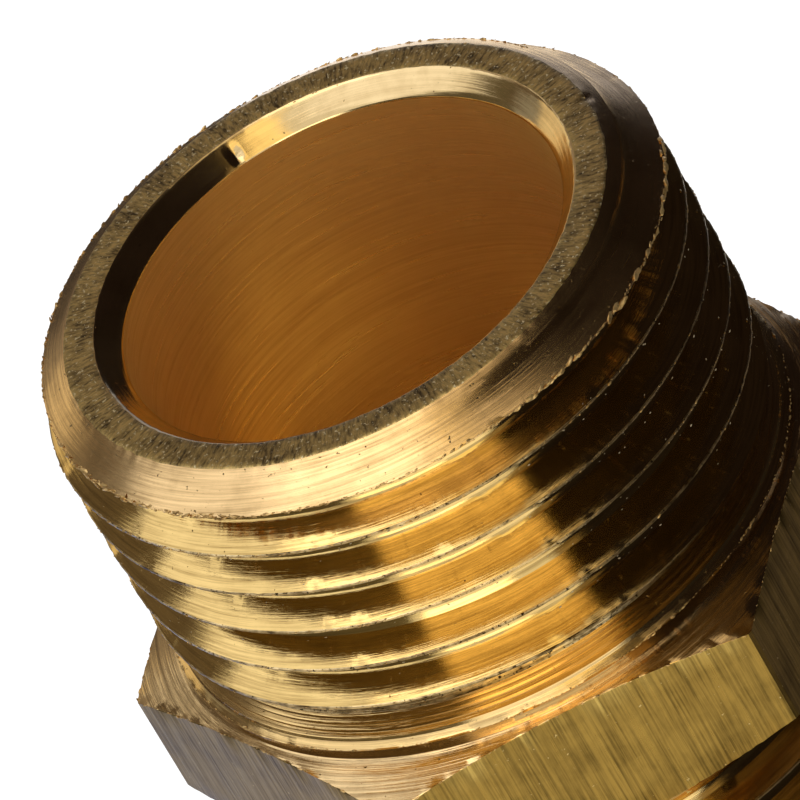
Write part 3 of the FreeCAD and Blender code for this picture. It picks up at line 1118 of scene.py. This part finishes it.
@dataclass
class FlareNut:
    """The flare nut: a coned hexagon over a turned skirt, with a left-hand thread inside.

    Attributes are the sizes of the nut, with heights from its foot.
    """

    foot_height: float
    flats: float = 22.0
    length: float = 22.70
    chamfer_radius: float = 10.40
    chamfer_angle: float = 30.0
    hexagon_height: float = 13.0
    skirt_radius: float = 10.10
    skirt_height: float = 3.60
    foot_radius: float = 8.20
    foot_land: float = 0.50
    neck_radius: float = 6.36
    shoulder_height: float = 4.43
    pocket_radius: float = 7.55
    relief_radius: float = 8.75
    relief_start: float = 9.50
    relief_end: float = 11.50
    mouth_radius: float = 9.10
    thread_gap: float = 0.09
    edge_break: float = 0.30
    columns: int = 216

    def bore_radius(self, heights: np.ndarray) -> np.ndarray:
        """Give the radius of the bore before the thread is cut.

        Args:
            heights: heights along the axis.

        Returns:
            The radius at each height.
        """
        up = heights - self.foot_height
        minor = ThreadForm.crest_radius - ThreadForm.depth + self.thread_gap
        return np.maximum(minor, np.maximum(self.mouth_radius - (self.length - up),
                                            self.relief_radius - (up - self.relief_end)))

    def build(self, datum: ThreadForm, finishes: list[BrassFinish]) -> bpy.types.Object:
        """Build the nut as one closed skin and put it in place of its solid.

        Args:
            datum: the thread that the nut runs on.
            finishes: the turned, the drawn and the threaded finish.

        Returns:
            The nut.
        """
        turned, drawn, tapped = range(3)
        corners = np.radians(60.0) * np.arange(6)
        even = np.arange(self.columns) * TURN / self.columns
        beside, lead, gap = 0.003, 0.1, 0.02
        shell = TurnedShell(np.unique(np.round(np.mod(np.concatenate(
            [even, corners - beside, corners + beside]), TURN), 6)))
        corner_break = 0.03
        side = hexagon_radius(shell.angles, self.flats / 2,
                              self.flats / 2 / math.cos(math.radians(30)) - corner_break)
        fall = (side - self.chamfer_radius) * math.tan(math.radians(self.chamfer_angle))
        foot, top = self.foot_height, self.foot_height + self.length
        under = top - self.hexagon_height
        middle = [(side, under + fall + (top - under - 2 * fall) * share, drawn)
                  for share in (0.25, 0.5, 0.75)]
        ragged = np.minimum(0.012 * Ripple(23, 20, 300).at(shell.angles) - 0.01, 0.0)
        shell.profile([
            (self.neck_radius, foot + self.edge_break, turned),
            (self.neck_radius + self.edge_break, foot, turned),
            (self.foot_radius, foot, turned),
            (self.foot_radius, foot + self.foot_land, turned),
            (self.skirt_radius, foot + self.skirt_height, turned),
            (self.skirt_radius, under, turned),
            (self.chamfer_radius, under, turned),
            (side + ragged, under + fall, drawn),
            *middle,
            (side + ragged, top - fall, turned),
            (self.chamfer_radius, top, turned),
            (self.mouth_radius, top, turned),
            (self.mouth_radius - lead, top - lead, tapped)], edge=0.04)
        form = ThreadForm(crest_radius=datum.crest_radius + self.thread_gap, datum_angle=datum.datum_angle,
                          datum_height=datum.datum_height)
        shell.winding(form, self.bore_radius, top - lead - gap, foot + self.relief_end + gap,
                      lambda height, on_crest: tapped, inside=True)
        shell.profile([
            (self.relief_radius, foot + self.relief_end, turned),
            (self.relief_radius, foot + self.relief_start, turned),
            (self.pocket_radius, foot + self.relief_start, turned),
            (self.pocket_radius, foot + self.shoulder_height + self.pocket_radius - self.neck_radius, turned),
            (self.neck_radius, foot + self.shoulder_height, turned),
            (self.neck_radius, foot + self.edge_break + 2.5 * gap, turned)])
        piece = shell.build("nut", [finish.material() for finish in finishes])
        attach(piece, "nut")
        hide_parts("flare_nut")
        return piece


@dataclass
class FlareSleeve:
    """The flare sleeve: a neck, a shoulder that the nut pulls on, and a head coned to back the tube's flare.

    Attributes are the sizes of the sleeve, with heights from its tail.
    """

    length: float = 10.10
    bore_radius: float = 5.05
    neck_radius: float = 6.30
    head_radius: float = 7.35
    rim_radius: float = 6.90
    shoulder_height: float = 5.65
    edge_break: float = 0.30
    columns: int = 180

    def build(self, finish: BrassFinish) -> bpy.types.Object:
        """Build the sleeve as one closed skin and put it in place of its solid.

        Args:
            finish: its finish.

        Returns:
            The sleeve.
        """
        broken = self.edge_break
        seat = self.length - (self.rim_radius - self.bore_radius)
        shell = TurnedShell(np.arange(self.columns) * TURN / self.columns)
        shell.profile([(radius, height, 0) for radius, height in [
            (self.bore_radius + broken, 0.0),
            (self.neck_radius - broken, 0.0),
            (self.neck_radius, broken),
            (self.neck_radius, self.shoulder_height),
            (self.head_radius, self.shoulder_height + self.head_radius - self.neck_radius),
            (self.head_radius, self.length - broken),
            (self.head_radius - broken, self.length),
            (self.rim_radius, self.length),
            (self.bore_radius, seat),
            (self.bore_radius, broken)]], edge=0.05, closed=True)
        piece = shell.build("sleeve", [finish.material()])
        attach(piece, "sleeve")
        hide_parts("flare_sleeve")
        return piece


@dataclass(frozen=True)
class Card:
    """A card of the light tent: a patch of a sphere about the object, or one laid on the floor.

    Attributes:
        name: what it is.
        azimuths: where it starts and ends around the object, in degrees to the right of the camera.
        elevations: its lower and upper edge as seen from the object, in degrees above level.
        strength: how bright it is. White is 1.
        colour: its colour.
        facet: how wide its facets are, in degrees.
    """

    name: str
    azimuths: tuple[float, float]
    elevations: tuple[float, float]
    strength: float
    colour: str = "#FFFFFF"
    facet: float = 5.0

    def build(self, centre: Vector, front: float, radius: float) -> bpy.types.Object:
        """Build the card, unseen but in reflections.

        Args:
            centre: the middle of the tent, in millimetres.
            front: the angle about the axis at which the camera stands, in degrees.
            radius: the radius of the tent.

        Returns:
            The card.
        """
        across, up = (max(2, round(abs(ends[1] - ends[0]) / self.facet))
                      for ends in (self.azimuths, self.elevations))
        points = []
        for column in range(across + 1):
            azimuth = front + self._between(self.azimuths, column / across)
            for row in range(up + 1):
                elevation = self._between(self.elevations, row / up)
                if elevation >= 0:
                    corner = centre + radius * direction(azimuth, elevation)
                else:
                    least_slope = 0.001
                    slope = max(math.tan(math.radians(-elevation)), least_slope)
                    corner = direction(azimuth, 0.0) * min(radius, centre.z / slope)
                    corner.z = FLOOR_CLEARANCE
                points.append(corner * MM)
        faces = [(base, base + up + 1, base + up + 2, base + 1)
                 for column in range(across) for base in range(column * (up + 1), column * (up + 1) + up)]
        mesh = bpy.data.meshes.new(self.name)
        mesh.from_pydata(points, [], faces)
        made = bpy.data.materials.new(self.name)
        tree = empty_tree(made)
        glow = add_node(tree, "ShaderNodeEmission",
                        inputs={"Color": linear(self.colour), "Strength": self.strength})
        add_node(tree, "ShaderNodeOutputMaterial", inputs={"Surface": glow.outputs[0]})
        mesh.materials.append(made)
        card = add_object(self.name, mesh)
        card.visible_camera = False
        card.visible_diffuse = False
        card.visible_shadow = False
        return card

    @staticmethod
    def _between(ends: tuple[float, float], share: float) -> float:
        """Give the value that lies the given share of the way between two ends."""
        return ends[0] + (ends[1] - ends[0]) * share


@dataclass(frozen=True)
class Softbox:
    """A soft rectangular lamp that faces the object.

    Attributes:
        name: what it is.
        azimuth: where it stands around the object, in degrees to the right of the camera.
        elevation: how high it stands, in degrees.
        width: its angular width, in degrees.
        height: its angular height, in degrees.
        strength: how bright its face is. White is 1.
        colour: its colour.
        distance: how far away it stands.
    """

    name: str
    azimuth: float
    elevation: float
    width: float
    height: float
    strength: float
    colour: str = "#FFFFFF"
    distance: float = 600.0

    def build(self, centre: Vector, front: float) -> bpy.types.Object:
        """Hang the lamp.

        Args:
            centre: the point that it faces, in millimetres.
            front: the angle about the axis at which the camera stands, in degrees.

        Returns:
            The lamp.
        """
        out = direction(front + self.azimuth, self.elevation)
        light = bpy.data.lights.new(self.name, "AREA")
        light.shape = "RECTANGLE"
        light.size = 2 * self.distance * MM * math.tan(math.radians(self.width / 2))
        light.size_y = 2 * self.distance * MM * math.tan(math.radians(self.height / 2))
        light.energy = self.strength * math.pi * light.size * light.size_y
        light.color = linear(self.colour)[:3]
        lamp = add_object(self.name, light)
        turn = out.to_track_quat("Z", "Y").to_matrix().to_4x4()
        lamp.matrix_world = Matrix.Translation((centre + out * self.distance) * MM) @ turn
        lamp.visible_camera = False
        return lamp


@dataclass
class Studio:
    """The pale floor, the white room, the light tent with its lamps, and the camera.

    Attributes:
        target: the point that the camera looks at.
        camera_azimuth: the angle about the axis at which the camera stands, in degrees.
        camera_elevation: how far it looks down, in degrees.
        camera_distance: its distance from the target.
        camera_roll: how far it leans, in degrees.
        lens: its focal length, for a sensor 36 mm wide.
        tent_height: the height of the tent's middle.
        tent_radius: the radius of the light tent.
        floor_reach: how far the floor reaches from the object.
        floor_glow: how much the floor glows where the background shows, so that it comes out white.
        room_light: how brightly the white room lights the object. Where it shows, it is white.
        cards: the cards of the tent.
        softboxes: the lamps.
    """

    target: Vector
    camera_azimuth: float = -84.5
    camera_elevation: float = 36.92
    camera_distance: float = 323.85
    camera_roll: float = 30.25
    lens: float = 597.5
    tent_height: float = 33.0
    tent_radius: float = 250.0
    floor_reach: float = 3000.0
    floor_glow: float = 0.62
    room_light: float = 0.55
    cards: tuple[Card, ...] = (
        Card("right_flag", (24, 150), (0, 22), 0.022, "#C8B0A8"),
        Card("right_flag_high", (24, 158), (22, 74), 0.020, "#C8A8A0"),
        Card("flag_edge", (14, 24), (0, 74), 0.26, "#FFE0A8"),
        Card("right_far_paper", (16, 150), (-28, 0), 0.02, "#E0D0C8"),
        Card("right_paper", (16, 150), (-70, -28), 0.17, "#E0D0C8"),
        Card("back_right", (158, 180), (22, 74), 0.22, "#FFE8D8"),
        Card("back_right_low", (150, 180), (0, 22), 0.55, "#C8D4FF"),
        Card("back_left", (-180, -154), (0, 74), 0.25, "#FFF0E0"),
        Card("side_low", (-154, -136), (0, 20), 0.75, "#FFF0D0"),
        Card("side_low_front", (-136, -122), (0, 20), 0.25),
        Card("side_mid", (-150, -122), (20, 38), 0.12, "#FFE8D0"),
        Card("side_high", (-150, -135), (38, 52), 0.22, "#FFE8D0"),
        Card("left_low", (-122, -38), (0, 31), 0.11, "#FFF0D0"),
        Card("left_far_paper", (-122, -36), (-24, 0), 0.12, "#FFF0D0"),
        Card("back_far_paper", (-180, -122), (-24, 0), 0.06, "#FFE8D0"),
        Card("back_paper", (-180, -112), (-70, -24), 0.80, "#B8C6FF"),
        Card("left_paper", (-112, -40), (-70, -24), 0.75, "#FFF4E4"),
        Card("front_paper", (-40, 16), (-70, -24), 0.70, "#FFF0D0"),
        Card("roof_right", (10, 180), (74, 90), 0.75, "#FFF0D8"),
        Card("warm_roof", (-12, 14), (22, 90), 1.25, "#FFEBB4"),
    )
    softboxes: tuple[Softbox, ...] = (
        Softbox("key", -90, 55, 60, 42, 0.40, "#DCE4FF"),
        Softbox("front", -18, 12, 30, 22, 2.00, "#FFF6DC"),
        Softbox("overhead", -60, 82, 34, 34, 1.00, "#FFF8F0"),
    )

    def build(self) -> None:
        """Set up the whole studio."""
        centre = Vector((0, 0, self.tent_height))
        for card in self.cards:
            card.build(centre, self.camera_azimuth, self.tent_radius)
        for softbox in self.softboxes:
            softbox.build(centre, self.camera_azimuth)
        self.floor()
        self.world()
        self.camera()

    def floor(self) -> None:
        """Lay a pale floor that shows white, but for the object's shadow."""
        mesh = bpy.data.meshes.new("floor")
        reach, drop = self.floor_reach * MM, -FLOOR_CLEARANCE * MM
        corners = ((-reach, -reach), (reach, -reach), (reach, reach), (-reach, reach))
        mesh.from_pydata([(x, y, drop) for x, y in corners], [], [(0, 1, 2, 3)])
        made = bpy.data.materials.new("pale_floor")
        tree = empty_tree(made)
        lift = add_node(tree, "ShaderNodeMath", {"operation": "MULTIPLY"},
                        {0: shows_background(tree), 1: self.floor_glow})
        matt = add_node(tree, "ShaderNodeBsdfDiffuse", inputs={"Color": linear("#F2F2F2")})
        glow = add_node(tree, "ShaderNodeEmission", inputs={"Strength": lift.outputs[0]})
        both = add_node(tree, "ShaderNodeAddShader", inputs={0: matt.outputs[0], 1: glow.outputs[0]})
        add_node(tree, "ShaderNodeOutputMaterial", inputs={"Surface": both.outputs[0]})
        mesh.materials.append(made)
        add_object("floor", mesh)

    def world(self) -> None:
        """Surround the object with plain soft light that looks white."""
        world = bpy.data.worlds.new("white_room")
        bpy.context.scene.world = world
        tree = empty_tree(world)
        level = add_node(tree, "ShaderNodeMapRange", inputs={
            "Value": shows_background(tree), "To Min": self.room_light, "To Max": 1.0})
        glow = add_node(tree, "ShaderNodeBackground", inputs={"Strength": level.outputs[0]})
        add_node(tree, "ShaderNodeOutputWorld", inputs={"Surface": glow.outputs[0]})

    def camera(self) -> None:
        """Stand the camera and make it the scene's own."""
        out = direction(self.camera_azimuth, self.camera_elevation)
        data = bpy.data.cameras.new("camera")
        data.lens = self.lens
        data.sensor_width = 36.0
        data.clip_start = 0.01
        data.clip_end = 10.0
        camera = add_object("camera", data)
        turn = out.to_track_quat("Z", "Y").to_matrix().to_4x4()
        roll = Matrix.Rotation(math.radians(-self.camera_roll), 4, "Z")
        place = Matrix.Translation((self.target + out * self.camera_distance) * MM)
        camera.matrix_world = place @ turn @ roll
        bpy.context.scene.camera = camera


# Each finish is named for how that surface is made on the real fitting.
NIPPLE_FINISHES = {
    # drilled and bored: fine rings, and warm because it mostly sees itself
    Zone.BORED: BrassFinish("bored_brass", "#FFD884", "#D09A46", 0.32, Lay.AROUND, 0.045, 0.50, 0.38,
                            2.0, 0.10, metallic=0.8),
    # turned with one plunge of the tool: bright, with faint rings
    Zone.BEVEL_IN: BrassFinish("mouth_bevel_brass", "#F8D89C", "#9A763A", 0.13, Lay.AROUND, 0.05, 0.20, 0.25,
                               1.2, 0.30, "#6A5028", 0.18, 0.03),
    # parted off and never polished: dark, torn across the cut, with bright flecks
    Zone.SAWN: BrassFinish("parted_end_brass", "#DEBE78", "#54432A", 0.36, Lay.ACROSS, 0.045, 0.60, 0.85,
                           0.7, 0.45, "#F4E2B0", 0.10, 0.14),
    # turned chamfer: pale, with clear rings and dirt in them
    Zone.BEVEL_OUT: BrassFinish("end_bevel_brass", "#F9D294", "#7A5A2A", 0.20, Lay.AROUND, 0.035, 0.35, 0.50,
                                1.6, 0.30, "#4A3A1E", 0.14, 0.04),
    # cut with a die: mirror bright flanks with fine scratches round them
    Zone.THREAD: BrassFinish("cut_thread_brass", "#F5D084", "#765418", 0.09, Lay.AROUND, 0.035, 0.25, 0.50,
                             1.8, 0.18, "#5A3E18", 0.14, 0.02),
    # where the die tore the crests: rough, with dirt held in the tears
    Zone.CREST: BrassFinish("torn_crest_brass", "#F6DAA0", "#4E3816", 0.26, Lay.AROUND, 0.05, 0.5, 0.7,
                            0.5, 0.6, "#2E2210", 0.09, 0.16),
    # turned with a narrow tool: bright, with its steps and rings
    Zone.RELIEF: BrassFinish("relief_brass", "#F8D28C", "#6E4C20", 0.14, Lay.AROUND, 0.05, 0.45, 0.55,
                             1.5, 0.12, "#4A3416", 0.14, 0.03),
    # the turned cone over the hexagon: lathe rings
    Zone.CONE: BrassFinish("turned_cone_brass", "#F6D296", "#6E5026", 0.12, Lay.AROUND, 0.05, 0.45, 0.55,
                           1.5, 0.20, "#4A3416", 0.14, 0.03),
    # the flats keep the skin of the drawn bar: duller, olive, streaked along it
    Zone.FLATS: BrassFinish("drawn_flat_brass", "#BEA056", "#54431E", 0.34, Lay.ALONG, 0.03, 0.50, 0.65,
                            1.2, 0.30, "#E6D090", 0.16, 0.035),
    # the flare cone at the lower end: finely turned
    Zone.NOSE: BrassFinish("nose_brass", "#F2D08C", "#8A6430", 0.18, Lay.AROUND, 0.06, 0.25, 0.25),
}
NUT_FINISHES = (
    # turned chamfers, skirt and pocket: bright, with lathe rings
    BrassFinish("nut_turned_brass", "#F4D092", "#7A5A2C", 0.17, Lay.AROUND, 0.06, 0.35, 0.40, 2.0, 0.20),
    # the flats keep the skin of the drawn bar
    BrassFinish("nut_drawn_brass", "#D8B468", "#6A5426", 0.30, Lay.ALONG, 0.035, 0.45, 0.55, 2.0, 0.30,
                "#5A4620", 0.18, 0.04),
    # cut with a tap: bright and finely scratched
    BrassFinish("nut_tapped_brass", "#F4D08A", "#86602A", 0.14, Lay.AROUND, 0.05, 0.25, 0.35),
)
# turned all over, finely
SLEEVE_FINISH = BrassFinish("sleeve_turned_brass", "#F2CE8C", "#8A6430", 0.17, Lay.AROUND, 0.05, 0.30, 0.35,
                            1.5, 0.15)
# metal torn loose along the edges, bright where it broke
TORN = BrassFinish("torn_brass", "#EFCB88", "#86602A", 0.34, Lay.NONE, 0.05, 0.3, 0.5,
                   0.4, 0.5, metallic=0.75)
# fine pale dust and swarf that lies in the grooves
DUST = BrassFinish("dust", "#CBBB9C", "#8C7C60", 0.70, Lay.NONE, 0.05, 0.2, 0.4, 0.4, 0.4, metallic=0.1)


def main() -> None:
    """Build the fitting and the studio."""
    logging.basicConfig(level=logging.INFO, format="%(name)s: %(message)s")
    scene = bpy.context.scene
    scene.view_settings.view_transform = "Standard"
    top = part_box("fitting_body")[1].z / MM
    nipple = Nipple(face_height=top)
    nipple.build([NIPPLE_FINISHES[zone] for zone in Zone])
    nipple.build_chips(TORN.material(), DUST.material())
    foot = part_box("flare_nut")[0].z / MM
    FlareNut(foot_height=foot).build(nipple.form(nipple.lower_crest_depth), list(NUT_FINISHES))
    FlareSleeve().build(SLEEVE_FINISH)
    aim_depth, aim_left = 4.866, 0.396
    right = direction(Studio.camera_azimuth + 90.0, 0.0)
    Studio(target=Vector((0, 0, top - aim_depth)) - aim_left * right).build()


if __name__ == "__main__":
    main()
